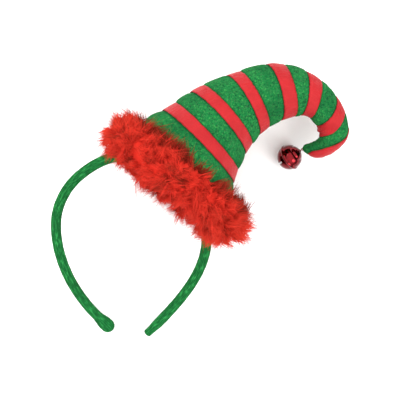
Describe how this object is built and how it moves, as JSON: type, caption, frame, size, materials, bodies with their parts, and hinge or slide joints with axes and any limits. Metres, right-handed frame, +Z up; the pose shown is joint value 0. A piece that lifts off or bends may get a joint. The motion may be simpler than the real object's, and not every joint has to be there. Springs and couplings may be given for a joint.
{
  "type": "elf hat headband",
  "caption": "Padded felt headband carrying a stuffed, curled elf hat with ribbon stripes, a feather boa brim and a jingle bell at its tip.",
  "frame": {"origin": "centre of the bounding box in plan, on the surface that the headband lies on", "axes": "+Z up from the surface that it lies on, shortest extent; +X towards the curled tip of the hat, longest extent; the band opens towards -Y"},
  "size_m": [0.2376, 0.2172, 0.1251],
  "materials": {
    "band_felt": "mottled green felt",
    "hat_felt": "heathered green felt",
    "satin": "red satin ribbon",
    "feather": "red marabou feather",
    "red_metal": "red metallic plating",
    "steel": "plain steel",
    "thread": "dark red sewing thread"
  },
  "bodies": {
    "root": {"headband": "band_felt", "hat_cone": "hat_felt", "ribbon_1": "satin", "ribbon_2": "satin", "ribbon_3": "satin", "ribbon_4": "satin", "ribbon_5": "satin", "ribbon_6": "satin", "tip_ribbon": "satin", "base_disc": "hat_felt", "seat_patch": "hat_felt", "fur_trim": "feather", "jingle_bell": "red_metal", "bell_ball": "steel", "bell_thread": "thread"}
  },
  "joints": []
}
